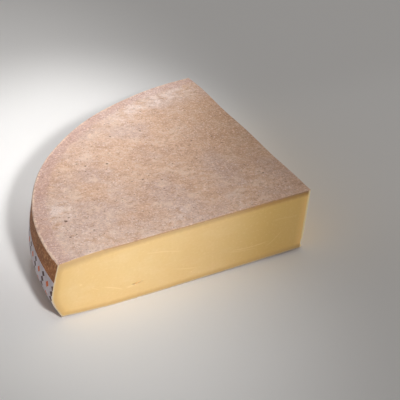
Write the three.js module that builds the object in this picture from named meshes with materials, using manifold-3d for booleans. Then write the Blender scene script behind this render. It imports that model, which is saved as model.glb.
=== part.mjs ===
// A quarter of a large pressed hard cheese, lying on its flat side, with a printed band round its rim.
// Millimetres, +Z up. The front cut faces -Y, the side cut faces +X and the rim runs from -X round to +Y.
// The shapes are worked out about the wheel's axis, then moved so that the origin is the middle of the base.
import * as THREE from 'three';
import { mergeVertices } from 'three/addons/utils/BufferGeometryUtils.js';
import Module from 'manifold-3d';

// Wheel: the round edge's height is that over the rim's foot
const TOP_EDGE_RADIUS = 360;
const EDGE_HEIGHT = 77;
const DOME_RISE = 3.8;
const DOME_POWER = 1.1;

// Top face near its round edge: a rounded shoulder, then a low lip and a small rounding
const SHOULDER_WIDTH = 70;
const SHOULDER_RISE = 2.6;
const LIP_INSET = 1.8;
const LIP_HEIGHT = 0.5;
const LIP_SPREAD = 1;
const EDGE_ROUNDING = 0.6;
const EDGE_ROUNDING_SPREAD = 0.8;

// Base: flat in its middle, rounded up to the rim's foot and rising evenly to the foot of the apex
const FOOT_HEIGHT = 4;
const FOOT_START_RADIUS = 288;
const FOOT_POWER = 1.3;
const FACET_END_RADIUS = 230;

// Slow waves of the top face
const SWELL_HEIGHT = 0.25;
const RIPPLE_HEIGHT = 0.25;
const SWELL_LENGTH = 210;
const RIPPLE_LENGTH = 95;

// Rim: how far it swells past the top edge, how far its foot draws in, and how both change at the front cut
const RIM_BULGE = 5;
const RIM_TUCK = 6;
const WIDEST_SHARE = 0.38;
const POWER_ABOVE = 1.35;
const POWER_BELOW = 1.4;
const EXTRA_BULGE_AT_CUT = 5;
const LESS_TUCK_AT_CUT = 3;
const CUT_SWELL_DEGREES = 8;

// One shallow flat on the rim's edge
const FLAT_DEPTH = 0.9;
const FLAT_DEGREES_FROM_CUT = 51;
const FLAT_HALF_DEGREES = 5;

// Towards the side cut the rim lies a little further out and higher
const FAR_GROWTH = 3.7;
const FAR_RISE = 1;
const FAR_START_DEGREES = 52;
const FAR_POWER = 2;
const FAR_RISE_POWER = 3;

// Cuts
const SECTOR_DEGREES = 92.5;
const APEX_SLANT = 12;
const FAR_SLANT_DEGREES = 1;
const SIDE_CUT_WAVE = 0.8;
const SIDE_CUT_WAVE_LENGTH = 140;
const SIDE_CUT_WAVE_POWER = 4;

// Slit in the front cut and chip in the apex edge; widths are those of the leaf shape's control points
const SLIT = { fromApex: 252.5, height: 22.5, length: 16, width: 1.8, depth: 4, tilt: -7 };
const CHIP = { height: 12, length: 12, width: 4.4, depth: 3 };

// Printed band, laid on the rim; heights over the rim's foot
const BAND_TOP = 52.5;
const BAND_FOOT = 13;
const BAND_GAP = 0.35;
const BAND_THICKNESS = 0.55;
const BAND_ROWS = 8;

// Steps of the surfaces
const TURN_STEPS = 42;
const REACH_STEPS = 21;
const EVEN_STEPS_END = 25;
const EDGE_INSETS = [14, 7.5, 4, LIP_INSET, LIP_SPREAD / 2, 0];
const STEPS_UNDER_BAND = 3;
const STEPS_OVER_BAND = 5;
const LEAF_STEPS = 4;

// Triangles are joined where they lie in one plane within this distance
const FLAT_TOLERANCE = 0.001;

const wasm = await Module();
wasm.setup();

const radians = THREE.MathUtils.degToRad;
const lerp = THREE.MathUtils.lerp;

// Evenly spaced values from first to last, both included
function evenSteps(first, last, steps) {
  return Array.from({ length: steps + 1 }, (_, k) => lerp(first, last, k / steps));
}

// 1 at the front cut, fading to 0 along the rim
function nearFrontCut(degreesFromCut) {
  return Math.exp(-degreesFromCut / CUT_SWELL_DEGREES);
}

// 0 up to the angle where the far part of the rim starts, growing to 1 at the side cut
function nearSideCut(degreesFromCut) {
  const share = (degreesFromCut - FAR_START_DEGREES) / (SECTOR_DEGREES - FAR_START_DEGREES);
  return Math.max(0, share) ** FAR_POWER;
}

// Radius of the rim at a share of the height, 0 at the foot and 1 at the top edge
function rimRadius(degreesFromCut, rise) {
  const swelling = nearFrontCut(degreesFromCut);
  const bulge = RIM_BULGE + EXTRA_BULGE_AT_CUT * swelling;
  const tuck = RIM_TUCK - LESS_TUCK_AT_CUT * swelling;
  const offFlat = (degreesFromCut - FLAT_DEGREES_FROM_CUT) / FLAT_HALF_DEGREES;
  const growth = FAR_GROWTH * nearSideCut(degreesFromCut);
  const edge = TOP_EDGE_RADIUS + growth - FLAT_DEPTH * Math.exp(-offFlat * offFlat);
  if (rise > WIDEST_SHARE) {
    const above = (rise - WIDEST_SHARE) / (1 - WIDEST_SHARE);
    return edge + bulge * (1 - above ** POWER_ABOVE);
  }
  const below = (WIDEST_SHARE - rise) / WIDEST_SHARE;
  return edge + bulge - (bulge + tuck) * below ** POWER_BELOW;
}

// Height of the base's surface; reach is 0 at the apex and 1 at the rim
function baseHeight(degreesFromCut, reach) {
  const radius = reach * TOP_EDGE_RADIUS;
  const footShare = (radius - FOOT_START_RADIUS) / (TOP_EDGE_RADIUS - FOOT_START_RADIUS);
  const half = SECTOR_DEGREES / 2;
  const towardsMiddle = Math.cos(radians(degreesFromCut - half)) / Math.cos(radians(half));
  const facetShare = 1 - (radius * towardsMiddle) / FACET_END_RADIUS;
  return FOOT_HEIGHT * Math.max(Math.max(0, footShare) ** FOOT_POWER, facetShare, 0);
}

// Height of the top face, over the same points
function topHeight(degreesFromCut, reach) {
  const inset = TOP_EDGE_RADIUS * (1 - reach);
  const shoulder = SHOULDER_RISE * (1 - Math.max(0, 1 - inset / SHOULDER_WIDTH) ** 2);
  const dome = DOME_RISE * (1 - reach) ** DOME_POWER;
  const lip = LIP_HEIGHT * Math.exp(-(((inset - LIP_INSET) / LIP_SPREAD) ** 2));
  const rounding = EDGE_ROUNDING * (1 - Math.exp(-inset / EDGE_ROUNDING_SPREAD));
  const along = reach * TOP_EDGE_RADIUS * Math.cos(radians(degreesFromCut));
  const across = reach * TOP_EDGE_RADIUS * Math.sin(radians(degreesFromCut));
  const swellPhase = (2 * Math.PI) / SWELL_LENGTH;
  const ripplePhase = (2 * Math.PI) / RIPPLE_LENGTH;
  const swell = SWELL_HEIGHT * Math.sin(along * swellPhase) * Math.cos(across * swellPhase);
  const ripple = RIPPLE_HEIGHT * Math.sin((along + across) * ripplePhase);
  const farRise = FAR_RISE * nearSideCut(degreesFromCut) * reach ** FAR_RISE_POWER;
  return FOOT_HEIGHT + EDGE_HEIGHT + shoulder + dome + lip + rounding + farRise + (swell + ripple) * reach;
}

// A point of the rim's surface, pushed outwards by a distance
function rimPoint(turn, rise, outwards) {
  const degreesFromCut = turn * (SECTOR_DEGREES - (1 - rise) * FAR_SLANT_DEGREES);
  const direction = Math.PI - radians(degreesFromCut);
  const radius = rimRadius(degreesFromCut, rise) + outwards;
  const height = lerp(FOOT_HEIGHT, topHeight(degreesFromCut, 1), rise);
  return new THREE.Vector3(radius * Math.cos(direction), radius * Math.sin(direction), height);
}

// A point of the quarter: turn runs from front cut to side cut, reach from apex to rim, rise from base to top
function quarterPoint(turn, reach, rise) {
  const rim = rimPoint(turn, rise, 0);
  const apexX = -APEX_SLANT * (1 - rise);
  const degreesFromCut = turn * SECTOR_DEGREES;
  const height = lerp(baseHeight(degreesFromCut, reach), topHeight(degreesFromCut, reach), rise);
  const waveTurn = Math.sin((2 * Math.PI * reach * TOP_EDGE_RADIUS) / SIDE_CUT_WAVE_LENGTH);
  const wave = SIDE_CUT_WAVE * waveTurn * 4 * reach * (1 - reach) * rise * turn ** SIDE_CUT_WAVE_POWER;
  return new THREE.Vector3(lerp(apexX, rim.x, reach) + wave, reach * rim.y, height);
}

// A closed surface round the block of points that three lists of parameters span
function blockGeometry(pointAt, turns, reaches, rises) {
  const corners = [];
  // Two triangles for each cell of one face; the cell runs along columns first, then rows
  const addFace = (columns, rows, at) => {
    for (let c = 0; c < columns.length - 1; c++) {
      for (let r = 0; r < rows.length - 1; r++) {
        const a = at(columns[c], rows[r]);
        const b = at(columns[c + 1], rows[r]);
        const d = at(columns[c + 1], rows[r + 1]);
        const e = at(columns[c], rows[r + 1]);
        corners.push(a, b, d, a, d, e);
      }
    }
  };
  addFace(turns, reaches, (turn, reach) => pointAt(turn, reach, rises.at(-1)));
  addFace(reaches, turns, (reach, turn) => pointAt(turn, reach, rises[0]));
  addFace(rises, turns, (rise, turn) => pointAt(turn, reaches.at(-1), rise));
  addFace(turns, rises, (turn, rise) => pointAt(turn, reaches[0], rise));
  addFace(reaches, rises, (reach, rise) => pointAt(turns.at(-1), reach, rise));
  addFace(rises, reaches, (rise, reach) => pointAt(turns[0], reach, rise));
  return withoutEmptyTriangles(mergeVertices(new THREE.BufferGeometry().setFromPoints(corners)));
}

// Drops the triangles that have shrunk to a line where a face narrows to the apex edge
function withoutEmptyTriangles(geometry) {
  const source = geometry.index.array;
  const kept = [];
  for (let t = 0; t < source.length; t += 3) {
    const [a, b, c] = source.slice(t, t + 3);
    if (a !== b && b !== c && c !== a) kept.push(a, b, c);
  }
  return geometry.setIndex(kept);
}

// Solid of a closed geometry, for cutting
function solidOf(geometry) {
  const shell = geometry.clone();
  shell.deleteAttribute('normal');
  shell.deleteAttribute('uv');
  const merged = mergeVertices(shell);
  const vertProperties = new Float32Array(merged.attributes.position.array);
  const triVerts = new Uint32Array(merged.index.array);
  return new wasm.Manifold(new wasm.Mesh({ numProp: 3, vertProperties, triVerts }));
}

// Geometry of a solid, after cutting
function geometryOf(solid) {
  const { vertProperties, triVerts } = solid.getMesh();
  const geometry = new THREE.BufferGeometry();
  geometry.setAttribute('position', new THREE.BufferAttribute(new Float32Array(vertProperties), 3));
  geometry.setIndex(new THREE.BufferAttribute(new Uint32Array(triVerts), 1));
  return geometry;
}

// A leaf-shaped prism, pointed at both ends, its length along X and its depth along Y
function leafPrism(length, width, depth) {
  const leaf = new THREE.Shape();
  leaf.moveTo(-length / 2, 0);
  leaf.quadraticCurveTo(0, -width, length / 2, 0);
  leaf.quadraticCurveTo(0, width, -length / 2, 0);
  const prism = new THREE.ExtrudeGeometry(leaf, { depth, bevelEnabled: false, curveSegments: LEAF_STEPS });
  return prism.rotateX(Math.PI / 2);
}

// The slit reaches into the front cut, which is the plane y = 0
function slitCutter() {
  const prism = leafPrism(SLIT.length, SLIT.width, SLIT.depth * 2);
  prism.translate(0, SLIT.depth, 0);
  prism.rotateY(radians(SLIT.tilt));
  return prism.translate(-SLIT.fromApex, 0, SLIT.height);
}

// The chip lies across the apex edge, its length upright
function chipCutter() {
  const prism = leafPrism(CHIP.length, CHIP.width, CHIP.depth * 2);
  prism.translate(0, CHIP.depth, 0);
  prism.rotateY(Math.PI / 2);
  const apexX = -APEX_SLANT * (1 - (CHIP.height - FOOT_HEIGHT) / EDGE_HEIGHT);
  return prism.translate(apexX, 0, CHIP.height);
}

// The cheese: one solid, with its slit and chip cut out
function cheeseGeometry() {
  const turns = evenSteps(0, 1, TURN_STEPS);
  const nearEdge = EDGE_INSETS.map((inset) => 1 - inset / TOP_EDGE_RADIUS);
  const reaches = [...evenSteps(0, 1 - EVEN_STEPS_END / TOP_EDGE_RADIUS, REACH_STEPS), ...nearEdge];
  const bandFoot = BAND_FOOT / EDGE_HEIGHT;
  const bandTop = BAND_TOP / EDGE_HEIGHT;
  const rises = [
    ...evenSteps(0, bandFoot, STEPS_UNDER_BAND).slice(0, -1),
    ...evenSteps(bandFoot, bandTop, BAND_ROWS),
    ...evenSteps(bandTop, 1, STEPS_OVER_BAND).slice(1),
  ];
  const whole = solidOf(blockGeometry(quarterPoint, turns, reaches, rises));
  const cut = whole.subtract(solidOf(slitCutter())).subtract(solidOf(chipCutter()));
  return geometryOf(cut.simplify(FLAT_TOLERANCE));
}

// The band: a thin strip that follows the rim at an even gap
function bandGeometry() {
  const bandPoint = (turn, outwards, rise) => rimPoint(turn, rise, outwards);
  const turns = evenSteps(0, 1, TURN_STEPS);
  const faces = [BAND_GAP, BAND_GAP + BAND_THICKNESS];
  const rises = evenSteps(BAND_FOOT / EDGE_HEIGHT, BAND_TOP / EDGE_HEIGHT, BAND_ROWS);
  return blockGeometry(bandPoint, turns, faces, rises);
}

// Smooth-shaded mesh with its own material
function namedMesh(name, geometry, color, roughness) {
  geometry.computeVertexNormals();
  const mesh = new THREE.Mesh(geometry, new THREE.MeshStandardMaterial({ color, roughness, metalness: 0 }));
  mesh.name = name;
  return mesh;
}

const quarter = new THREE.Group();
quarter.add(namedMesh('cheese_quarter', cheeseGeometry(), '#e0bf8f', 0.7));
quarter.add(namedMesh('rim_band', bandGeometry(), '#d9d2d6', 0.6));

// The base's middle becomes the origin
const box = new THREE.Box3().setFromObject(quarter);
const middle = box.getCenter(new THREE.Vector3());
quarter.position.set(-middle.x, -middle.y, -box.min.z);

const part = new THREE.Group();
part.add(quarter);

export default part;
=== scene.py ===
# Looks of a lying quarter of a large pressed cheese with a printed band round its rim.
# Metres, +Z up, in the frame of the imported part: the origin is the middle of the base.
import math

import bpy
import numpy as np
from mathutils import Euler, Matrix, Vector, noise


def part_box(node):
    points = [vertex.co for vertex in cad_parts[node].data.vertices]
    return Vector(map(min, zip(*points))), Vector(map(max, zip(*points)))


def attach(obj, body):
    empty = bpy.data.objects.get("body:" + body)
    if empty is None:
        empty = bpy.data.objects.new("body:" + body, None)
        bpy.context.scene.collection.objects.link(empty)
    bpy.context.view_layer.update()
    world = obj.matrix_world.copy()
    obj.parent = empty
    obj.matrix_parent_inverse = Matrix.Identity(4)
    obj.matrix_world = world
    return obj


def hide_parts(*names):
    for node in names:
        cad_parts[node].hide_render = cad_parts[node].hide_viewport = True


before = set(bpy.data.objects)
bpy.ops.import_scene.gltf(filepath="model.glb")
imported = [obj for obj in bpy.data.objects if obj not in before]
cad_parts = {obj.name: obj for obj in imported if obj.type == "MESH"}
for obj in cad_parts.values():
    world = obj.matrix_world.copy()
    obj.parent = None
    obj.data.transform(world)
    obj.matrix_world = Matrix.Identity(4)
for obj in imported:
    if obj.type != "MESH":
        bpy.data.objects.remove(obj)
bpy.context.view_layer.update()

MM = 0.001
NEARLY_ZERO = 1e-6
SEED_SHIFTS = (17.3, 5.1, 9.7)

# Wheel and cuts, in millimetres as in the part
TOP_EDGE_RADIUS = 360
EDGE_HEIGHT = 77
DOME_RISE = 3.8
DOME_POWER = 1.1
SHOULDER_WIDTH = 70
SHOULDER_RISE = 2.6
LIP_INSET = 1.8
LIP_HEIGHT = 0.5
LIP_SPREAD = 1
EDGE_ROUNDING = 0.6
EDGE_ROUNDING_SPREAD = 0.8
FOOT_HEIGHT = 4
FOOT_START_RADIUS = 288
FOOT_POWER = 1.3
FACET_END_RADIUS = 230
SWELL_HEIGHT = 0.25
RIPPLE_HEIGHT = 0.25
SWELL_LENGTH = 210
RIPPLE_LENGTH = 95
RIM_BULGE = 5
RIM_TUCK = 6
WIDEST_SHARE = 0.38
POWER_ABOVE = 1.35
POWER_BELOW = 1.4
EXTRA_BULGE_AT_CUT = 5
LESS_TUCK_AT_CUT = 3
CUT_SWELL_DEGREES = 8
FLAT_DEPTH = 0.9
FLAT_DEGREES_FROM_CUT = 51
FLAT_HALF_DEGREES = 5
FAR_GROWTH = 3.7
FAR_RISE = 1
FAR_START_DEGREES = 52
FAR_POWER = 2
FAR_RISE_POWER = 3
SECTOR_DEGREES = 92.5
APEX_SLANT = 12
FAR_SLANT_DEGREES = 1
SIDE_CUT_WAVE = 0.8
SIDE_CUT_WAVE_LENGTH = 140
SIDE_CUT_WAVE_POWER = 4
BAND_TOP = 52.5
BAND_FOOT = 13

# Fine mesh of the cheese; the first step in from an edge is a share of an even one
TOP_STEPS = 216
TOP_FIRST_STEP = 0.4
WALL_STEPS = 36
WALL_FIRST_STEP = 0.35
BASE_RINGS = (0.97, 0.9, 0.8, 0.68, 0.54, 0.4, 0.25, 0.1)
BODY_SHARP_DEGREES = 38

# The body's materials in order
TOP_SLOT, RIM_SLOT, PASTE_SLOT, BASE_SLOT = range(4)

# Lumps of the rind in millimetres, the share left under the band and the margins of that zone
FINE_LUMP_SIZE = 5.5
FINE_LUMP_HEIGHT = 0.16
WIDE_LUMP_SIZE = 17
WIDE_LUMP_HEIGHT = 0.2
LUMPS_UNDER_BAND = 0.25
MARGIN_BELOW_BAND = 2
MARGIN_ABOVE_BAND = 1

# Wear of the edges between the faces, in millimetres
EDGE_SOFTENING = 0.4
SOFTENING_CHANGE = 0.7
SOFTENING_SIZE = 3.2
NOTCH_SIZE = 7
NOTCH_START = 0.35
NOTCH_DEPTH = 3.0

# Pits of the top rind that show best: distance from the axis, degrees from the front cut and half-width
SHOWN_PITS = [
    (321, 15.2, 2.4),
    (316, 16.6, 1.5),
    (324, 8.5, 1.6),
    (315, 9.1, 1.2),
    (292, 9.4, 1.5),
    (303, 57.4, 1.6),
    (278, 64.4, 1.6),
    (276, 43.6, 1.8),
    (302, 41.1, 1.5),
    (298, 38.4, 1.2),
    (306, 37.9, 1.2),
    (220, 36.3, 1.6),
    (195, 37.2, 1.3),
    (205, 69.4, 1.4),
    (194, 77.5, 1.3),
    (76, 65.8, 1.4),
]

# The other pits are scattered: shares of the top's area, degrees and half-widths that they lie between
MORE_PITS = 40
PIT_SEED = 5
PIT_AREA_SHARES = (0.01, 0.95)
PIT_DEGREES = (2, SECTOR_DEGREES - 2)
PIT_HALF_WIDTHS = (0.7, 1.2)
PIT_DEPTH = 0.8

# Pale patches, partly real pale rind and partly painted light and sheen: distance from the axis, degrees,
# half-width along the radius and along the arc, strength
PALE_AND_LIT_PATCHES = [
    (328, 20, 20, 34, 0.95),
    # Along the back shoulder and corner: painted sheen and painted light, with some real bloom
    (332, 74, 20, 70, 1.0),
    (336, 83, 30, 40, 0.85),
    # Along the front cut and its end at the rim: painted light
    (230, 3, 120, 20, 0.35),
    (338, 4, 26, 34, 0.3),
    (290, 10, 50, 34, 0.35),
    (300, 60, 18, 40, 0.35),
    (178, 10, 16, 22, 0.6),
    (101, 20, 12, 16, 0.5),
    (250, 30, 22, 40, 0.3),
    (312, 45, 14, 30, 0.4),
]

# Browner rind next to the side cut, partly the rind's own browning and partly painted shade and painted
# warm reflection: strength, reach from the cut, and its start, end and fade by radius
BROWN_AND_SHADE_STRENGTH = 0.6
BROWN_AND_SHADE_WIDTH = 70
BROWN_AND_SHADE_START = 120
BROWN_AND_SHADE_END = 345
BROWN_AND_SHADE_FADE = 80

# Dark specks of the rind, in millimetres, with the limits of the random number that chooses them
SPECK_SPACING = 6.0
SPECK_RADIUS = 0.8
SPECK_SOFTNESS = 0.4
SPECK_CHOSEN = (0.60, 0.62)
SPECK_STRENGTH = 0.7

# Slit in the front cut and chip in the apex edge: millimetres, degrees, and shares of jag and of brown,
# which in the slit is partly painted shade
SLIT = dict(height=22.5, length=16, width=1.8, depth=2.5, tilt=-7, jag=0.35, browned_and_shaded=0.8)
SLIT_FROM_APEX = 252.5
CHIP = dict(height=12, length=12, width=4.4, depth=3, tilt=90, jag=0.3, browned_and_shaded=0)
LEAF_STEPS = 14
LEAF_SEED = 3

# Faint pale lines of the knife, on the front cut, and on the side cut with negative places: place of
# the middle from the apex and half-length, height, slope and bend per mm, half-width and strength
KNIFE_MARKS = [
    (80.5, 30, 24.5, 0.04, 0.0032, 0.8, 0.65),
    (91, 24, 22.5, 0.15, 0.0010, 0.7, 0.45),
    (45.7, 14, 25.2, -0.76, 0.018, 0.8, 0.5),
    (31, 21, 52.9, 0.10, 0.0007, 0.8, 0.45),
    (209, 30, 56.9, 0.23, -0.0026, 0.8, 0.6),
    (176, 19, 21.8, 0.24, 0.0032, 0.9, 0.6),
    (277.6, 14, 25.4, 0.44, -0.0091, 1.1, 0.75),
    (301.5, 6, 31, 0.58, 0, 0.8, 0.5),
    (350, 3, 65, -3.8, -0.1, 0.8, 0.7),
    (322, 1.8, 41.6, 0, 0, 1.4, 0.75),
    (168, 1.5, 14.5, 0, 0, 1.3, 0.7),
    (252.5, 9, 20.3, -0.13, 0.003, 1.2, 0.7),
    (-118, 36, 31, 0.05, 0.0020, 0.8, 0.6),
    (-236, 27, 53, -0.12, 0.0028, 0.8, 0.55),
    (-305, 13, 24, 0.42, -0.0080, 1.0, 0.7),
    (-58, 22, 60, 0.10, 0.0010, 0.8, 0.5),
    (-188, 1.6, 41, 0, 0, 1.4, 0.7),
]

# Where a mark starts and is full, as shares of its half-width, and the share of its length that is full
MARK_START = 1.3
MARK_FULL = 0.3
MARK_LENGTH_FULL = 0.5

# The band's mesh, and its lift off the rim in millimetres
BAND_ROWS = 26
BAND_COLUMNS = 420
BAND_TURNS = (0.0006, 0.9994)
BAND_LENGTH = 580
BAND_LIFT = 0.18
BAND_OUTSIDE = 0.2
BAND_INSIDE = 0.1
CREASE_SIZE = 9
CREASE_START = 0.25
CREASE_HEIGHT = 0.5
WAVE_SIZE = 14
WAVE_HEIGHT = 0.08
EDGE_LIFT = 0.12
EDGE_LIFT_POWER = 8
BAND_SHARP_DEGREES = 50

# The band's print, in millimetres along it and up from its lower edge, its softness as shares of a shape
PRINT_REPEAT = 36
PRINT_SLANT = 0.28
PRINT_SOFTNESS = 0.04
LOZENGE_PLACE = 9
LOZENGE_START = 3.6
LOZENGE_PITCH = 8.2
LOZENGES = 4
LOZENGE_HALF_LENGTH = 5.6
LOZENGE_HALF_HEIGHT = 4.2
LOZENGE_END_HALF_FADE = 0.1
DIAMOND_PLACE = 27
DIAMOND_MIDDLE = 20
DIAMOND_OFFSET = 8
DIAMOND_HALF_SIZE = 5.2

# Camera of the photograph, about the wheel's axis: metres, degrees and millimetres of lens
CAMERA_PLACE = Vector((-1.1729, -1.8431, 1.364))
CAMERA_YAW = -28.71
CAMERA_PITCH = 30.66
CAMERA_ROLL = 0.30
CAMERA_LENS = 176.05
CAMERA_SENSOR = 36
CAMERA_REACH = 50

# Studio: floor and sky, then spots with place, target, degrees across, soft share, watts and radius
FLOOR_COLOR = (0.80, 0.79, 0.78, 1)
FLOOR_ROUGHNESS = 0.9
FLOOR_REACH = 6.0
SKY_COLOR = (1.0, 0.98, 0.96, 1)
SKY_STRENGTH = 0.36
KEY_PLACE = (-0.3, -2.3, 1.6)
SPOTS = [
    ("key", KEY_PLACE, (-0.14, -0.14, 0.02), 10, 0.9, 317, 0.2),
    ("far_key", KEY_PLACE, (0.0, 0.16, 0.08), 7, 1.0, 525, 0.2),
    ("back", (0.6, 1.6, 1.8), (0.04, 0.25, 0.08), 6, 1.0, 640, 0.2),
    # Low enough to light the side cut alone
    ("side", (2.4, 0.1, 0.04), (0.19, 0.0, 0.045), 14, 0.8, 120, 0.03),
]


def srgb(red, green, blue):
    """Linear colour of an 8-bit one."""
    shares = (value / 255 for value in (red, green, blue))
    linear = [v / 12.92 if v <= 0.04045 else ((v + 0.055) / 1.055) ** 2.4 for v in shares]
    return (*linear, 1.0)


# Colours of the flat faces' rind; flecks are light and dark
PEACH = srgb(212, 174, 148)
GREYISH_MAUVE = srgb(201, 170, 156)
LIGHT_PATCH = srgb(224, 197, 177)
DARK_PATCH = srgb(193, 154, 129)
LIGHT_SPOT = srgb(225, 200, 182)
DARK_SPOT = srgb(186, 148, 125)
TOP_FLECKS = (srgb(235, 203, 179), srgb(167, 129, 106))
BASE_FLECKS = (srgb(226, 200, 178), srgb(168, 132, 109))
BLOOM = srgb(238, 218, 210)
# Colour of the pale patches, partly painted light and sheen
SPECK = srgb(104, 76, 62)
PALE_RIND_AND_PAINTED_LIGHT = srgb(230, 211, 202)
MAUVE_RIND = srgb(197, 159, 150)
# Browner rind by the side cut, partly painted shade and painted warm reflection
BROWNED_AND_SHADED_RIND = srgb(190, 147, 112)
PALE_LIP = srgb(242, 215, 192)
PIT = srgb(98, 68, 52)

# Colours of the rim's rind
RIM_GROUND = (srgb(149, 98, 62), srgb(170, 110, 68))
RIM_NEAR_BAND = srgb(161, 98, 54)
RIM_FLECKS = (srgb(217, 161, 111), srgb(84, 48, 30))
RIM_CRUMBS = srgb(206, 168, 140)

# Colours of the paste, and of its borders from the inside to the rind
PASTE_GROUND = (srgb(221, 189, 134), srgb(219, 185, 128))
PASTE_CLOUD = srgb(226, 198, 148)
# Deeper towards the apex, partly painted shade and warm reflection; the next two are painted light near
# and at the apex
DEEPER_PASTE_AND_SHADE_TOWARDS_APEX = srgb(212, 175, 106)
PAINTED_LIGHT_NEAR_APEX = srgb(236, 196, 122)
PAINTED_LIGHT_AT_APEX = srgb(246, 203, 130)
DARK_GRAIN = srgb(198, 159, 97)
LIGHT_GRAIN = srgb(232, 205, 158)
KNIFE_LINE = srgb(238, 209, 156)
WIDE_BORDER = srgb(216, 180, 114)
RIM_BORDER = srgb(201, 164, 106)
# Over the base the deeper yellow is partly painted shade near the floor
BASE_BORDER_AND_SHADE = srgb(197, 160, 103)
TOP_BORDER = srgb(194, 160, 113)
TOP_BORDER_AT_APEX = srgb(184, 141, 86)
RIND_LINE = srgb(168, 132, 101)
CREAM_BORDER = srgb(196, 178, 150)
# Brown paste in the slit and by the side cut's top, partly painted shade
BROWNED_AND_SHADED_PASTE = srgb(226, 162, 80)
# Painted highlight along the apex edge
APEX_EDGE_HIGHLIGHT = srgb(252, 234, 192)

# Colours of the band
PAPER = (srgb(206, 196, 202), srgb(192, 181, 186))
FIBRE = srgb(178, 163, 166)
BROWN_PRINT = srgb(80, 44, 38)
ORANGE_PRINT = srgb(218, 106, 40)

# Unevenness of the borders and lips, in millimetres
MAUVE_REACH = 12
MAUVE_REACH_CHANGE = 16
LIP_RAGGEDNESS = 9
CRUMB_RAGGEDNESS = 12
BORDER_WOBBLE = 2.4

# Tan under the top, in millimetres: how deep it is full and where it ends, with what the rim adds
TAN_FULL = 2.8
TAN_FULL_AT_RIM = 0.5
TAN_END = 9.5
TAN_END_AT_RIM = 4.5

# What paleness and groups add to the noise of the whitish dots
CROWD_WHERE_PALE = 0.13
CROWD_IN_GROUPS = 0.16

# Roughness, and what its noise adds
PASTE_ROUGHNESS = 0.42
PASTE_ROUGHNESS_CHANGE = 0.15
PAPER_ROUGHNESS = 0.45
PAPER_ROUGHNESS_CHANGE = 0.2


def near_front_cut(degrees):
    """1 at the front cut, fading to 0 along the rim."""
    return np.exp(-degrees / CUT_SWELL_DEGREES)


def near_side_cut(degrees):
    """0 up to where the far part of the rim starts, growing to 1 at the side cut."""
    share = (degrees - FAR_START_DEGREES) / (SECTOR_DEGREES - FAR_START_DEGREES)
    return np.clip(share, 0, None) ** FAR_POWER


def rim_radius(degrees, rise):
    """Radius of the rim at a share of its height, 0 at the foot and 1 at the top edge."""
    swelling = near_front_cut(degrees)
    bulge = RIM_BULGE + EXTRA_BULGE_AT_CUT * swelling
    tuck = RIM_TUCK - LESS_TUCK_AT_CUT * swelling
    off_flat = (degrees - FLAT_DEGREES_FROM_CUT) / FLAT_HALF_DEGREES
    edge = TOP_EDGE_RADIUS + FAR_GROWTH * near_side_cut(degrees) - FLAT_DEPTH * np.exp(-off_flat**2)
    above = np.clip((rise - WIDEST_SHARE) / (1 - WIDEST_SHARE), 0, 1)
    below = np.clip((WIDEST_SHARE - rise) / WIDEST_SHARE, 0, 1)
    return edge + bulge - bulge * above**POWER_ABOVE - (bulge + tuck) * below**POWER_BELOW


def base_height(degrees, reach):
    """Height of the base's surface, with reach 0 at the apex and 1 at the rim."""
    radius = reach * TOP_EDGE_RADIUS
    foot_share = (radius - FOOT_START_RADIUS) / (TOP_EDGE_RADIUS - FOOT_START_RADIUS)
    half = math.radians(SECTOR_DEGREES / 2)
    towards_middle = np.cos(np.radians(degrees) - half) / math.cos(half)
    facet_share = 1 - radius * towards_middle / FACET_END_RADIUS
    foot = np.clip(foot_share, 0, None) ** FOOT_POWER
    facet = np.clip(facet_share, 0, None)
    return FOOT_HEIGHT * np.maximum(foot, facet)


def top_height(degrees, reach):
    """Height of the top face, over the same points."""
    inset = TOP_EDGE_RADIUS * (1 - reach)
    shoulder = SHOULDER_RISE * (1 - np.clip(1 - inset / SHOULDER_WIDTH, 0, None) ** 2)
    dome = DOME_RISE * (1 - reach) ** DOME_POWER
    lip = LIP_HEIGHT * np.exp(-(((inset - LIP_INSET) / LIP_SPREAD) ** 2))
    rounding = EDGE_ROUNDING * (1 - np.exp(-inset / EDGE_ROUNDING_SPREAD))
    along = reach * TOP_EDGE_RADIUS * np.cos(np.radians(degrees))
    across = reach * TOP_EDGE_RADIUS * np.sin(np.radians(degrees))
    swell_phase = 2 * math.pi / SWELL_LENGTH
    ripple_phase = 2 * math.pi / RIPPLE_LENGTH
    swell = SWELL_HEIGHT * np.sin(along * swell_phase) * np.cos(across * swell_phase)
    ripple = RIPPLE_HEIGHT * np.sin((along + across) * ripple_phase)
    far_rise = FAR_RISE * near_side_cut(degrees) * reach**FAR_RISE_POWER
    waves = (swell + ripple) * reach
    return FOOT_HEIGHT + EDGE_HEIGHT + shoulder + dome + lip + rounding + far_rise + waves


def rim_point(turn, rise, outwards=0.0):
    """Points of the rim's surface, pushed outwards by a distance."""
    degrees = turn * (SECTOR_DEGREES - (1 - rise) * FAR_SLANT_DEGREES)
    direction = np.pi - np.radians(degrees)
    radius = rim_radius(degrees, rise) + outwards
    height = FOOT_HEIGHT + rise * (top_height(degrees, 1.0) - FOOT_HEIGHT)
    return np.stack((radius * np.cos(direction), radius * np.sin(direction), height), -1)


def quarter_point(turn, reach, rise):
    """Points of the quarter: front cut to side cut, apex to rim, base to top."""
    rim = rim_point(turn, rise)
    apex_x = -APEX_SLANT * (1 - rise)
    foot = base_height(turn * SECTOR_DEGREES, reach)
    height = foot + rise * (top_height(turn * SECTOR_DEGREES, reach) - foot)
    wave_turn = np.sin(2 * np.pi * reach * TOP_EDGE_RADIUS / SIDE_CUT_WAVE_LENGTH)
    # The wave is full at half the radius and none at the apex and the rim
    wave = SIDE_CUT_WAVE * wave_turn * 4 * reach * (1 - reach) * rise * turn**SIDE_CUT_WAVE_POWER
    x = apex_x + (rim[..., 0] - apex_x) * reach + wave
    return np.stack((x, rim[..., 1] * reach, height), -1)


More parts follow.
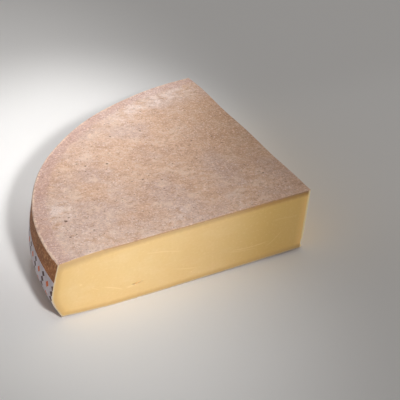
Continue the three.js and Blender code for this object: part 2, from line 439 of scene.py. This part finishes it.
# The wheel's axis in the part's frame: the side cut's top corner is the furthest point in +X
low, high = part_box("cheese_quarter")
corner_x = rim_point(1.0, 1.0)[0] * MM
AXIS = Vector((high[0] - corner_x, low[1], 0.0))


def to_frame(points):
    """Millimetres about the wheel's axis to metres in the part's frame."""
    return points * MM + np.array(AXIS)


def relief(points, size, seed):
    """Smooth noise between about -1 and 1 at each point, with lumps of a size in millimetres."""
    shift = Vector([seed * value for value in SEED_SHIFTS])
    return np.array([noise.noise(Vector(p) / size + shift) for p in points])


class Nodes:
    """Short names for the node types of one material."""

    def __init__(self, name):
        self.material = bpy.data.materials.new(name)
        self.material.use_nodes = True
        self.tree = self.material.node_tree
        self.shader = self.tree.nodes["Principled BSDF"]

    def add(self, kind, inputs=(), **settings):
        """A new node with its settings, and its inputs by name or number."""
        node = self.tree.nodes.new(kind)
        for key, value in settings.items():
            setattr(node, key, value)
        for key, value in dict(inputs).items():
            self.plug(value, node.inputs[key])
        return node

    def plug(self, value, socket):
        """Links another node's output, or sets a plain value."""
        if isinstance(value, bpy.types.NodeSocket):
            self.tree.links.new(value, socket)
        else:
            socket.default_value = value

    def math(self, operation, first, second=0.0, third=0.0):
        inputs = {0: first, 1: second, 2: third}
        return self.add("ShaderNodeMath", inputs, operation=operation).outputs[0]

    def attribute(self, name):
        return self.add("ShaderNodeAttribute", attribute_name=name).outputs["Fac"]

    def place(self):
        return self.add("ShaderNodeTexCoord").outputs["Object"]

    def noise(self, size_mm, detail=2.0, roughness=0.5, stretch=(1, 1, 1)):
        """Noise with lumps of about a size in millimetres, stretched by shares along X, Y and Z."""
        scaled = self.add("ShaderNodeVectorMath", {0: self.place(), 1: stretch}, operation="DIVIDE")
        inputs = {"Vector": scaled.outputs[0], "Scale": 1000 / size_mm, "Detail": detail}
        inputs["Roughness"] = roughness
        return self.add("ShaderNodeTexNoise", inputs).outputs["Fac"]

    def step(self, value, start, full):
        """0 at a start and 1 where it is full, smooth between; the start may be the larger number."""
        inputs = {"Value": value, "From Min": start, "From Max": full}
        node = self.add("ShaderNodeMapRange", inputs, interpolation_type="SMOOTHSTEP")
        return node.outputs["Result"]

    def step_mm(self, distance, start, full):
        """The same for a distance in metres, with its limits in millimetres."""
        return self.step(distance, start * MM, full * MM)

    def mix(self, share, first, second):
        """The first colour where a share is 0 and the second where it is 1."""
        node = self.add("ShaderNodeMix", data_type="RGBA")
        self.plug(share, node.inputs[0])
        self.plug(first, node.inputs[6])
        self.plug(second, node.inputs[7])
        return node.outputs[2]

    def cover(self, color, over, mask, strength):
        """A colour with another one over it where a mask is 1, at a strength."""
        return self.mix(self.math("MULTIPLY", mask, strength), color, over)

    def layers(self, color, rows):
        """Colours over a ground: noise, where it starts and is full, strength and colour of each."""
        for value, start, full, strength, over in rows:
            color = self.cover(color, over, self.step(value, start, full), strength)
        return color

    def bump(self, height, depth_mm, below=None):
        inputs = {"Height": height, "Distance": depth_mm * MM}
        if below is not None:
            inputs["Normal"] = below
        return self.add("ShaderNodeBump", inputs).outputs["Normal"]

    def surface(self, color, normal, roughness, specular):
        """The finished material."""
        inputs = {"Base Color": color, "Normal": normal, "Roughness": roughness}
        inputs["Specular IOR Level"] = specular
        for key, value in inputs.items():
            self.plug(value, self.shader.inputs[key])
        return self.material


def rind_flecks(nodes, color, light, dark):
    """Light flecks about 3 mm across on the ground, with finer light and dark ones among them."""
    grain = nodes.noise(size_mm=3.4, detail=2.5, roughness=0.6)
    fine = nodes.noise(size_mm=1.7, detail=2, roughness=0.6)
    flecks = [
        (grain, 0.43, 0.29, 0.45, dark),
        (grain, 0.52, 0.68, 0.62, light),
        (fine, 0.41, 0.27, 0.6, dark),
        (fine, 0.57, 0.72, 0.78, light),
    ]
    normal = nodes.bump(fine, depth_mm=0.3, below=nodes.bump(grain, depth_mm=0.55))
    return nodes.layers(color, flecks), normal


def dark_specks(nodes, color):
    """Small dark specks, scattered."""
    inputs = {"Vector": nodes.place(), "Scale": 1 / (SPECK_SPACING * MM)}
    cells = nodes.add("ShaderNodeTexVoronoi", inputs)
    radius = SPECK_RADIUS / SPECK_SPACING
    outside = (1 + SPECK_SOFTNESS) * radius
    inside = (1 - SPECK_SOFTNESS) * radius
    near = nodes.step(cells.outputs["Distance"], outside, inside)
    chosen = nodes.step(cells.outputs["Color"], *SPECK_CHOSEN)
    return nodes.cover(color, SPECK, nodes.math("MULTIPLY", near, chosen), SPECK_STRENGTH)


def flat_rind_color(nodes):
    """Peach to greyish mauve ground of the flat faces, in patches of several sizes."""
    wide = nodes.noise(size_mm=60, detail=3)
    patch = nodes.noise(size_mm=19, detail=3, roughness=0.55)
    spot = nodes.noise(size_mm=7.5, detail=2, roughness=0.5)
    ground = nodes.mix(nodes.step(wide, 0.38, 0.64), PEACH, GREYISH_MAUVE)
    patches = [
        (patch, 0.51, 0.68, 0.75, LIGHT_PATCH),
        (patch, 0.47, 0.31, 0.75, DARK_PATCH),
        (spot, 0.55, 0.69, 0.55, LIGHT_SPOT),
        (spot, 0.43, 0.29, 0.65, DARK_SPOT),
    ]
    return nodes.layers(ground, patches)


def whitish_bloom(nodes, color, pale):
    """Whitish pink dots that crowd together where the rind is pale."""
    dots = nodes.noise(size_mm=2.6, detail=2.5, roughness=0.6)
    groups = nodes.noise(size_mm=15, detail=2)
    crowd = nodes.math("MULTIPLY_ADD", pale, CROWD_WHERE_PALE, dots)
    crowd = nodes.math("MULTIPLY_ADD", groups, CROWD_IN_GROUPS, crowd)
    return nodes.layers(color, [(crowd, 0.67, 0.80, 0.8, BLOOM)])


def top_rind_material():
    """Rind of the top: mauve round its edge, with pale patches that are partly painted light and sheen, a
    browner zone with painted shade by the side cut, and small dark pits.
    """
    nodes = Nodes("top_rind")
    inset = nodes.attribute("inset")
    blotch = nodes.noise(size_mm=11, detail=3)
    # The pale mask is partly real pale rind and partly painted light and sheen
    pale = nodes.math("MULTIPLY", nodes.attribute("pale"), nodes.step(blotch, 0.30, 0.62))
    color = nodes.cover(flat_rind_color(nodes), PALE_RIND_AND_PAINTED_LIGHT, pale, strength=0.75)
    # The mauve border reaches in unevenly
    far_in = nodes.math("MULTIPLY_ADD", blotch, MAUVE_REACH_CHANGE * MM, MAUVE_REACH * MM)
    border = nodes.step_mm(nodes.math("SUBTRACT", inset, far_in), 4, -6)
    color = nodes.cover(color, MAUVE_RIND, border, strength=0.65)
    # Browner rind by the side cut, partly painted shade and painted warm reflection
    color = nodes.mix(nodes.attribute("browned_and_shaded"), color, BROWNED_AND_SHADED_RIND)
    color, normal = rind_flecks(nodes, color, *TOP_FLECKS)
    color = dark_specks(nodes, whitish_bloom(nodes, color, pale))
    # The lip of the round edge is pale, ragged and in pieces
    crumbs = nodes.noise(size_mm=4, detail=3)
    ragged = nodes.math("MULTIPLY_ADD", crumbs, LIP_RAGGEDNESS * MM, inset)
    lip = nodes.math("MULTIPLY", nodes.step_mm(ragged, 8.2, 5.6), nodes.step(blotch, 0.34, 0.54))
    color = nodes.cover(color, PALE_LIP, lip, strength=0.85)
    pit = nodes.step(nodes.attribute("pit"), 0.2, 0.7)
    color = nodes.cover(color, PIT, pit, strength=0.85)
    return nodes.surface(color, normal, roughness=0.72, specular=0.3)


def base_rind_material():
    """Rind of the base, as on the top but plainer."""
    nodes = Nodes("base_rind")
    color, normal = rind_flecks(nodes, flat_rind_color(nodes), *BASE_FLECKS)
    return nodes.surface(color, normal, roughness=0.75, specular=0.3)


def rim_rind_material():
    """Reddish brown rind of the rim, warmer next to the band."""
    nodes = Nodes("rim_rind")
    rise = nodes.attribute("over_base")
    patch = nodes.noise(size_mm=20, detail=3, stretch=(1, 1, 0.6))
    color = nodes.mix(nodes.step(patch, 0.38, 0.64), *RIM_GROUND)
    color = nodes.cover(color, RIM_NEAR_BAND, nodes.step_mm(rise, 70, 54), strength=0.6)
    color, normal = rind_flecks(nodes, color, *RIM_FLECKS)
    # Crumbs of the pale lip hang over its upper edge
    crumbs = nodes.noise(size_mm=4, detail=3)
    ragged = nodes.math("MULTIPLY_ADD", crumbs, CRUMB_RAGGEDNESS * MM, rise)
    color = nodes.cover(color, RIM_CRUMBS, nodes.step_mm(ragged, 81, 84), strength=0.65)
    return nodes.surface(color, normal, roughness=0.7, specular=0.3)


def knife_marks(nodes):
    """Strength of the pale lines at a place of the cuts."""
    along = nodes.attribute("along_cut")
    height = nodes.attribute("over_base")
    total = 0.0
    for middle, half_length, level, slope, bend, half_width, strength in KNIFE_MARKS:
        off = nodes.math("SUBTRACT", along, middle * MM)
        line = nodes.math("MULTIPLY_ADD", off, bend / MM, slope)
        line = nodes.math("MULTIPLY_ADD", line, off, level * MM)
        away = nodes.math("ABSOLUTE", nodes.math("SUBTRACT", height, line))
        reach = half_width * math.hypot(1, slope) * MM
        mark = nodes.math("MULTIPLY", nodes.step(away, MARK_START * reach, MARK_FULL * reach), strength)
        inside = nodes.step_mm(nodes.math("ABSOLUTE", off), half_length, MARK_LENGTH_FULL * half_length)
        total = nodes.math("MAXIMUM", total, nodes.math("MULTIPLY", mark, inside))
    return total


def paste_ground(nodes, cloud):
    """Pale yellow of the cut faces, deeper towards the apex with partly painted shade and warm
    reflection, lighter again next to the apex as painted light, with clouds and fine grain.
    """
    from_apex = nodes.attribute("from_apex")
    wide = nodes.noise(size_mm=60, detail=2)
    grain = nodes.noise(size_mm=2.4, detail=2, stretch=(1.6, 1.6, 1))
    color = nodes.mix(nodes.step(wide, 0.35, 0.65), *PASTE_GROUND)
    color = nodes.layers(color, [(cloud, 0.5, 0.75, 0.4, PASTE_CLOUD)])
    # Deeper towards the apex, partly painted shade and warm reflection; then lighter near and at the
    # apex, painted light
    color = nodes.mix(nodes.step_mm(from_apex, 150, 50), color, DEEPER_PASTE_AND_SHADE_TOWARDS_APEX)
    color = nodes.cover(color, PAINTED_LIGHT_NEAR_APEX, nodes.step_mm(from_apex, 55, 5), strength=0.5)
    color = nodes.mix(nodes.step_mm(from_apex, 16, 1), color, PAINTED_LIGHT_AT_APEX)
    grains = [
        (grain, 0.46, 0.30, 0.1, DARK_GRAIN),
        (grain, 0.54, 0.70, 0.2, LIGHT_GRAIN),
    ]
    return nodes.layers(color, grains)


def paste_borders(nodes, color):
    """The zones inside the rind, and the rind itself where the cuts go through it."""
    inset = nodes.attribute("inset")
    rough_edge = nodes.noise(size_mm=5, detail=3)
    wobble = nodes.math("MULTIPLY", nodes.math("SUBTRACT", rough_edge, 0.5), BORDER_WOBBLE * MM)
    side = nodes.math("ADD", inset, wobble)
    top = nodes.math("ADD", nodes.attribute("under_top"), wobble)
    foot = nodes.math("ADD", nodes.attribute("over_base"), wobble)
    # Deeper yellow inside the rind of the rim and the base; over the base it is partly painted shade near
    # the floor
    color = nodes.cover(color, WIDE_BORDER, nodes.step_mm(side, 32, 9), strength=0.5)
    color = nodes.mix(nodes.step_mm(side, 13, 3.5), color, RIM_BORDER)
    color = nodes.mix(nodes.step_mm(foot, 9, 2.5), color, BASE_BORDER_AND_SHADE)
    # Tan under the top, thickest at the rim and darkest at the apex
    at_rim = nodes.step_mm(inset, 100, 20)
    full = nodes.math("MULTIPLY_ADD", at_rim, TAN_FULL_AT_RIM * MM, TAN_FULL * MM)
    end = nodes.math("MULTIPLY_ADD", at_rim, TAN_END_AT_RIM * MM, TAN_END * MM)
    share = nodes.math("DIVIDE", nodes.math("SUBTRACT", end, top), nodes.math("SUBTRACT", end, full))
    tan = nodes.mix(nodes.step_mm(inset, 220, 300), TOP_BORDER, TOP_BORDER_AT_APEX)
    color = nodes.mix(nodes.step(share, 0, 1), color, tan)
    # The top's rind is a thin brown line, uneven in strength
    uneven = nodes.math("MULTIPLY", nodes.step_mm(inset, 25, 90), nodes.step(rough_edge, 0.78, 0.46))
    line = nodes.math("MULTIPLY", nodes.step_mm(top, 2.6, 1.4), uneven)
    color = nodes.cover(color, RIND_LINE, line, strength=0.85)
    # The rind of the rim and the base is a greyish cream border
    rind = nodes.math("MAXIMUM", nodes.step_mm(side, 2.8, 1), nodes.step_mm(foot, 2.6, 1))
    return nodes.cover(color, CREAM_BORDER, rind, strength=0.9)


def paste_material():
    """Waxy pale yellow paste of the cuts."""
    nodes = Nodes("paste")
    cloud = nodes.noise(size_mm=16, detail=3, stretch=(2.5, 2.5, 1))
    color = nodes.cover(paste_ground(nodes, cloud), KNIFE_LINE, knife_marks(nodes), strength=0.55)
    color = paste_borders(nodes, color)
    # Brown paste in the slit and by the side cut's top, partly painted shade
    color = nodes.mix(nodes.attribute("browned_and_shaded"), color, BROWNED_AND_SHADED_PASTE)
    # Painted highlight: a pale line along the apex edge, where the rounded edge catches light
    edge_highlight = nodes.step_mm(nodes.attribute("from_apex"), 4, 1.5)
    color = nodes.cover(color, APEX_EDGE_HIGHLIGHT, edge_highlight, strength=0.9)
    nodes.shader.inputs["Subsurface Weight"].default_value = 0.12
    nodes.shader.inputs["Subsurface Radius"].default_value = (1.0, 0.6, 0.25)
    nodes.shader.inputs["Subsurface Scale"].default_value = 4 * MM
    streak = nodes.noise(size_mm=5, detail=3, stretch=(14, 14, 1))
    roughness = nodes.math("MULTIPLY_ADD", cloud, PASTE_ROUGHNESS_CHANGE, PASTE_ROUGHNESS)
    return nodes.surface(color, nodes.bump(streak, depth_mm=0.15), roughness, specular=0.35)


def band_print(nodes, along, across):
    """Shares of brown and orange print: slanted rows of four lozenges, then pairs of diamonds."""
    outside = 1 + PRINT_SOFTNESS
    inside = 1 - PRINT_SOFTNESS
    slant = nodes.math("MULTIPLY_ADD", across, PRINT_SLANT, along)
    cell = nodes.math("FLOORED_MODULO", slant, PRINT_REPEAT * MM)
    # Lozenges point to point, cut off at both ends of their row
    row = nodes.math("ABSOLUTE", nodes.math("SUBTRACT", cell, LOZENGE_PLACE * MM))
    tooth = nodes.math("SUBTRACT", across, LOZENGE_START * MM)
    tooth = nodes.math("FLOORED_MODULO", tooth, LOZENGE_PITCH * MM)
    tooth = nodes.math("ABSOLUTE", nodes.math("SUBTRACT", tooth, LOZENGE_PITCH / 2 * MM))
    length_share = nodes.math("DIVIDE", row, LOZENGE_HALF_LENGTH * MM)
    height_share = nodes.math("DIVIDE", tooth, LOZENGE_HALF_HEIGHT * MM)
    lozenge = nodes.step(nodes.math("ADD", length_share, height_share), outside, inside)
    end = LOZENGE_START + LOZENGES * LOZENGE_PITCH
    fade = LOZENGE_END_HALF_FADE
    low_end = nodes.step_mm(across, LOZENGE_START - fade, LOZENGE_START + fade)
    high_end = nodes.step_mm(across, end + fade, end - fade)
    brown = nodes.math("MULTIPLY", lozenge, nodes.math("MULTIPLY", low_end, high_end))
    # Two diamonds, one over the other
    off_row = nodes.math("ABSOLUTE", nodes.math("SUBTRACT", cell, DIAMOND_PLACE * MM))
    off_pair = nodes.math("ABSOLUTE", nodes.math("SUBTRACT", across, DIAMOND_MIDDLE * MM))
    off_pair = nodes.math("ABSOLUTE", nodes.math("SUBTRACT", off_pair, DIAMOND_OFFSET * MM))
    diamond = nodes.math("DIVIDE", nodes.math("ADD", off_row, off_pair), DIAMOND_HALF_SIZE * MM)
    return brown, nodes.step(diamond, outside, inside)


def band_material():
    """White paper, a little stained, with brown and orange print."""
    nodes = Nodes("printed_band")
    brown, orange = band_print(nodes, nodes.attribute("along"), nodes.attribute("across"))
    stain = nodes.noise(size_mm=14, detail=3)
    fibre = nodes.noise(size_mm=1.6, detail=2)
    color = nodes.mix(nodes.step(stain, 0.35, 0.7), *PAPER)
    color = nodes.layers(color, [(fibre, 0.5, 0.3, 0.25, FIBRE)])
    color = nodes.mix(brown, color, BROWN_PRINT)
    color = nodes.mix(orange, color, ORANGE_PRINT)
    roughness = nodes.math("MULTIPLY_ADD", stain, PAPER_ROUGHNESS_CHANGE, PAPER_ROUGHNESS)
    return nodes.surface(color, nodes.bump(fibre, depth_mm=0.12), roughness, specular=0.35)


def new_object(name, vertices, faces, materials):
    """Mesh object from points in the part's frame, smooth but for sharp edges."""
    mesh = bpy.data.meshes.new(name)
    mesh.from_pydata(vertices.tolist(), [], faces)
    mesh.update()
    for material in materials:
        mesh.materials.append(material)
    mesh.shade_smooth()
    thing = bpy.data.objects.new(name, mesh)
    bpy.context.collection.objects.link(thing)
    return thing


def add_attribute(thing, name, values):
    """One number for each vertex."""
    layer = thing.data.attributes.new(name, "FLOAT", "POINT")
    layer.data.foreach_set("value", np.ascontiguousarray(values, dtype=np.float32))


def mark_places(thing, reach, turn, rise):
    """Distances in metres from the rim, the apex edge, the top and the base, for the materials."""
    heights = top_height(turn * SECTOR_DEGREES, reach) - base_height(turn * SECTOR_DEGREES, reach)
    add_attribute(thing, "inset", (1 - reach) * TOP_EDGE_RADIUS * MM)
    add_attribute(thing, "from_apex", reach * TOP_EDGE_RADIUS * MM)
    add_attribute(thing, "under_top", (1 - rise) * heights * MM)
    add_attribute(thing, "over_base", rise * heights * MM)


def grid_quads(index):
    """Faces of a grid of vertex numbers."""
    corners = (index[:-1, :-1], index[:-1, 1:], index[1:, 1:], index[1:, :-1])
    return np.stack(corners, -1).reshape(-1, 4)


def ring_quads(lower, upper):
    """Faces between two closed rings of vertex numbers."""
    return np.stack((lower, upper, np.roll(upper, -1), np.roll(lower, -1)), -1)


def polar_spot(r, degrees):
    """Place of a spot of the top face, in millimetres about the axis."""
    direction = math.pi - math.radians(degrees)
    return np.array((r * math.cos(direction), r * math.sin(direction)))


def pit_depths(points):
    """1 in the middle of a pit and 0 away from pits, for points of the top face."""
    draw = np.random.default_rng(PIT_SEED)
    radius = TOP_EDGE_RADIUS * np.sqrt(draw.uniform(*PIT_AREA_SHARES, MORE_PITS))
    degrees = draw.uniform(*PIT_DEGREES, MORE_PITS)
    spots = SHOWN_PITS + list(zip(radius, degrees, draw.uniform(*PIT_HALF_WIDTHS, MORE_PITS)))
    depth = np.zeros(len(points))
    for r, angle, size in spots:
        away = np.linalg.norm(points[:, :2] - polar_spot(r, angle), axis=1)
        depth = np.maximum(depth, np.exp(-((away / size) ** 2)))
    return depth


def paleness_and_painted_light(points):
    """Strength of the pale patches, partly real pale rind and partly painted light and sheen, at points
    of the top face.
    """
    total = np.zeros(len(points))
    for r, angle, along_radius, along_arc, strength in PALE_AND_LIT_PATCHES:
        off = points[:, :2] - polar_spot(r, angle)
        outwards = polar_spot(1, angle)
        radial = off @ outwards / along_radius
        sideways = off @ np.array((-outwards[1], outwards[0])) / along_arc
        total += strength * np.exp(-(radial**2) - sideways**2)
    return np.clip(total, 0, 1)


def browning_and_shade(points):
    """Strength of the browner rind next to the side cut, partly browning and partly painted shade and
    warm reflection, none at the apex and at the rim.
    """
    radius = np.linalg.norm(points[:, :2], axis=1)
    near_cut = np.exp(-((points[:, 0] / BROWN_AND_SHADE_WIDTH) ** 2))
    away_from_apex = 1 - np.exp(-((radius / BROWN_AND_SHADE_START) ** 2))
    away_from_rim = np.clip((BROWN_AND_SHADE_END - radius) / BROWN_AND_SHADE_FADE, 0, 1)
    return BROWN_AND_SHADE_STRENGTH * near_cut * away_from_apex * away_from_rim


def fine_steps(count, first_step):
    """Even steps from 0 to 1 with one extra step near each end, for a soft edge."""
    even = np.linspace(0, 1, count + 1)
    first = first_step / count
    return np.concatenate(([0, first], even[1:-1], [1 - first, 1]))


def square_to_quarter(u, v):
    """Turn and reach of the points of a square, whose corner 0, 0 is the apex."""
    reach = np.maximum(u, v)
    safe = np.where(reach > 0, reach, 1)
    return np.where(u >= v, v / (2 * safe), 1 - u / (2 * safe)), reach


def shaped(points, turn, reach, rise):
    """The rind's lumps and pits, and the soft, uneven edges between the faces, in millimetres."""
    moved = points.copy()
    lumps = FINE_LUMP_HEIGHT * relief(points, FINE_LUMP_SIZE, seed=1)
    lumps += WIDE_LUMP_HEIGHT * relief(points, WIDE_LUMP_SIZE, seed=2)
    over_foot = rise > (BAND_FOOT - MARGIN_BELOW_BAND) / EDGE_HEIGHT
    under_top = rise < (BAND_TOP + MARGIN_ABOVE_BAND) / EDGE_HEIGHT
    lumps[over_foot & under_top] *= LUMPS_UNDER_BAND
    on_top = rise == 1
    on_base = rise == 0
    on_rim = (reach == 1) & ~on_top & ~on_base
    moved[on_top, 2] += lumps[on_top] - PIT_DEPTH * pit_depths(points[on_top])
    radius = np.linalg.norm(points[:, :2], axis=1)
    outward = points[:, :2] / np.maximum(radius, NEARLY_ZERO)[:, None]
    moved[:, :2] += outward * (lumps * on_rim)[:, None]
    # Edges between the faces lose a little, unevenly and with some small notches
    on_front = turn == 0
    on_side = turn == 1
    notches = np.clip(relief(points, NOTCH_SIZE, seed=4) - NOTCH_START, 0, None) * NOTCH_DEPTH
    lost = EDGE_SOFTENING * (1 + SOFTENING_CHANGE * relief(points, SOFTENING_SIZE, seed=3)) + notches
    along_cut = on_top | on_base | (reach == 1) | (reach == 0)
    moved[:, 1] += lost * (on_front & along_cut)
    moved[:, 0] -= lost * (on_side & along_cut)
    moved[:, 2] -= lost * (on_top & (on_front | on_side | (reach == 1)))
    return moved


def cheese_body():
    """Fine mesh of the whole quarter, one closed surface with a material for each kind of face."""
    steps = fine_steps(TOP_STEPS, TOP_FIRST_STEP)
    rises = fine_steps(WALL_STEPS, WALL_FIRST_STEP)
    # Way round the top's grid: front cut, rim, side cut back to the apex
    last = len(steps) - 1
    way = [(i, 0) for i in range(last)] + [(last, j) for j in range(last)]
    way += [(i, last) for i in range(last, 0, -1)] + [(0, j) for j in range(last, 0, -1)]
    way_u, way_v = np.array(way).T

    # Turn, reach and rise of the vertices: the top, the walls' rings and the base's rings
    grid_turn, grid_reach = square_to_quarter(*np.meshgrid(steps, steps, indexing="ij"))
    ring_turn, ring_reach = grid_turn[way_u, way_v], grid_reach[way_u, way_v]
    places = [(grid_turn.ravel(), grid_reach.ravel(), np.ones(grid_turn.size))]
    for wall_rise in rises[:-1]:
        places.append((ring_turn, ring_reach, np.full(len(way), wall_rise)))
    for share in BASE_RINGS:
        ring_u = 0.5 + (steps[way_u] - 0.5) * share
        ring_v = 0.5 + (steps[way_v] - 0.5) * share
        places.append((*square_to_quarter(ring_u, ring_v), np.zeros(len(way))))
    turn, reach, rise = (np.concatenate(values) for values in zip(*places))

    top = np.arange(grid_turn.size).reshape(grid_turn.shape)
    rings = grid_turn.size + np.arange(len(turn) - grid_turn.size).reshape(-1, len(way))
    wall_rings = [*rings[: -len(BASE_RINGS)], top[way_u, way_v]]
    faces = grid_quads(top).tolist()
    slots = [TOP_SLOT] * len(faces)
    step_of_way = np.arange(len(way))
    on_rim = (step_of_way >= last) & (step_of_way < 3 * last)
    for lower, upper in zip(wall_rings[:-1], wall_rings[1:]):
        faces += ring_quads(lower, upper).tolist()
        slots += np.where(on_rim, RIM_SLOT, PASTE_SLOT).tolist()
    # The base closes in rings towards its middle, where it is flat
    outer = wall_rings[0]
    for inner in rings[-len(BASE_RINGS) :]:
        faces += ring_quads(inner, outer).tolist()
        slots += [BASE_SLOT] * len(way)
        outer = inner
    faces.append(outer.tolist())
    slots.append(BASE_SLOT)

    points = quarter_point(turn, reach, rise)
    materials = [top_rind_material(), rim_rind_material(), paste_material(), base_rind_material()]
    body = new_object("cheese_body", to_frame(shaped(points, turn, reach, rise)), faces, materials)
    body.data.polygons.foreach_set("material_index", slots)
    mark_places(body, reach, turn, rise)
    on_top = rise == 1
    add_attribute(body, "pit", pit_depths(points) * on_top)
    # The pale patches carry painted light and sheen, and the browner rind painted shade and warm
    # reflection, besides real colour
    add_attribute(body, "pale", paleness_and_painted_light(points) * on_top)
    add_attribute(body, "browned_and_shaded", browning_and_shade(points) * on_top)
    add_attribute(body, "along_cut", np.where(turn == 0, 1, -1) * reach * TOP_EDGE_RADIUS * MM)
    body.data.set_sharp_from_angle(angle=math.radians(BODY_SHARP_DEGREES))
    return body


def leaf_cutter(shape):
    """A closed prism with a leaf outline, its length along X and its depth along Y, in millimetres."""
    share = np.linspace(0, 1, LEAF_STEPS + 1)
    x = (share - 0.5) * shape["length"]
    bulge = shape["width"] * 2 * share * (1 - share)
    jag = shape["jag"]
    draw = np.random.default_rng(LEAF_SEED)
    upper = bulge * (1 + draw.uniform(-jag, jag, LEAF_STEPS + 1))
    lower = -bulge * (1 + draw.uniform(-jag, jag, LEAF_STEPS + 1))
    # The two sides share their end points
    outline = list(zip(x, lower)) + list(zip(x, upper))[-2:0:-1]
    count = len(outline)
    points = [(px, y, pz) for y in (-shape["depth"], shape["depth"]) for px, pz in outline]
    faces = [list(range(count)), list(range(2 * count - 1, count - 1, -1))]
    for k in range(count):
        after = (k + 1) % count
        faces.append([after, k, count + k, count + after])
    return np.array(points), faces


def cut_out(body, name, shape, x):
    """Takes a leaf shape out of the cheese's front, at a place along X in millimetres."""
    points, faces = leaf_cutter(shape)
    turned = np.array(Euler((0, math.radians(shape["tilt"]), 0)).to_matrix())
    place = np.array((x, 0, shape["height"]))
    cutter = new_object(name, to_frame(points @ turned.T + place), faces, body.data.materials)
    cutter.data.polygons.foreach_set("material_index", [PASTE_SLOT] * len(faces))
    same = np.ones(len(points))
    mark_places(cutter, same * -x / TOP_EDGE_RADIUS, same * 0, same * shape["height"] / EDGE_HEIGHT)
    for mark in ("pit", "pale", "along_cut"):
        add_attribute(cutter, mark, same * 0)
    # Brown of the slit, partly painted shade
    add_attribute(cutter, "browned_and_shaded", same * shape["browned_and_shaded"])
    cutting = body.modifiers.new(name, "BOOLEAN")
    cutting.operation = "DIFFERENCE"
    cutting.solver = "MANIFOLD"
    cutting.object = cutter
    bpy.context.view_layer.objects.active = body
    bpy.ops.object.modifier_apply(modifier=name)
    bpy.data.objects.remove(cutter)


def rim_band():
    """The printed strip: thin paper that lies on the rim, with a few soft creases."""
    rises = np.linspace(BAND_FOOT, BAND_TOP, BAND_ROWS + 1) / EDGE_HEIGHT
    turns = np.linspace(*BAND_TURNS, BAND_COLUMNS + 1)
    turn, rise = (values.ravel() for values in np.meshgrid(turns, rises, indexing="ij"))
    # Creases run from edge to edge, and the edges lift a little more than the middle
    zeros = np.zeros(len(turn))
    crease = relief(np.stack((turn * BAND_LENGTH, zeros, zeros), -1), CREASE_SIZE, seed=7)
    crease = np.clip(crease - CREASE_START, 0, None) * CREASE_HEIGHT
    wave = WAVE_HEIGHT * relief(rim_point(turn, rise), WAVE_SIZE, seed=8)
    edge = np.abs(rise - rises.mean()) / (rises[-1] - rises[0]) * 2
    lift = BAND_LIFT + crease + wave + EDGE_LIFT * edge**EDGE_LIFT_POWER
    outer = rim_point(turn, rise, BAND_OUTSIDE + lift)
    inner = rim_point(turn, rise, lift - BAND_INSIDE)

    index = np.arange(len(turn)).reshape(len(turns), len(rises))
    faces = grid_quads(index).tolist()
    faces += (grid_quads(index)[:, ::-1] + index.size).tolist()
    border = [*index[0, :-1], *index[:-1, -1], *index[-1, :0:-1], *index[:0:-1, 0]]
    for k, start in enumerate(border):
        after = border[(k + 1) % len(border)]
        faces.append([after, start, start + index.size, after + index.size])
    band = new_object("paper_band", to_frame(np.concatenate((outer, inner))), faces, [band_material()])
    along = np.radians(turn * SECTOR_DEGREES) * TOP_EDGE_RADIUS * MM
    across = (rise - rises[0]) * EDGE_HEIGHT * MM
    add_attribute(band, "along", np.tile(along, 2))
    add_attribute(band, "across", np.tile(across, 2))
    band.data.set_sharp_from_angle(angle=math.radians(BAND_SHARP_DEGREES))
    return band


def make_camera():
    """The photograph's view."""
    camera = bpy.data.objects.new("camera", bpy.data.cameras.new("camera"))
    camera.data.lens = CAMERA_LENS
    camera.data.sensor_width = CAMERA_SENSOR
    camera.data.clip_end = CAMERA_REACH
    turn = Euler((math.radians(90 - CAMERA_PITCH), 0, math.radians(CAMERA_YAW))).to_matrix()
    turn = turn @ Matrix.Rotation(math.radians(CAMERA_ROLL), 3, "Z")
    camera.matrix_world = Matrix.Translation(CAMERA_PLACE + AXIS) @ turn.to_4x4()
    bpy.context.collection.objects.link(camera)
    bpy.context.scene.camera = camera


def add_spot(name, place, target, degrees, soft_share, power, radius):
    """A soft-edged spot at a place, aimed at a target."""
    lamp = bpy.data.lights.new(name, "SPOT")
    lamp.energy = power
    lamp.spot_size = math.radians(degrees)
    lamp.spot_blend = soft_share
    lamp.shadow_soft_size = radius
    holder = bpy.data.objects.new(name, lamp)
    holder.location = place
    holder.rotation_euler = (Vector(target) - Vector(place)).to_track_quat("-Z", "Y").to_euler()
    bpy.context.collection.objects.link(holder)


def make_studio():
    """Pale floor, an even sky, key lights from the front that fade to the right, back and side lights."""
    bpy.context.scene.view_settings.view_transform = "Standard"
    floor_material = Nodes("floor")
    floor_material.shader.inputs["Base Color"].default_value = FLOOR_COLOR
    floor_material.shader.inputs["Roughness"].default_value = FLOOR_ROUGHNESS
    ways = ((-1, -1, 0), (1, -1, 0), (1, 1, 0), (-1, 1, 0))
    floor = new_object("floor", np.array(ways) * FLOOR_REACH, [[0, 1, 2, 3]], [floor_material.material])
    world = bpy.data.worlds.new("studio")
    world.use_nodes = True
    sky = world.node_tree.nodes["Background"]
    sky.inputs["Color"].default_value = SKY_COLOR
    sky.inputs["Strength"].default_value = SKY_STRENGTH
    bpy.context.scene.world = world
    for spot in SPOTS:
        add_spot(*spot)


body = cheese_body()
cut_out(body, "slit", SLIT, -SLIT_FROM_APEX)
cut_out(body, "chip", CHIP, -APEX_SLANT * (1 - (CHIP["height"] - FOOT_HEIGHT) / EDGE_HEIGHT))
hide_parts("cheese_quarter")
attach(body, "root")

band = rim_band()
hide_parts("rim_band")
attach(band, "root")

make_camera()
make_studio()
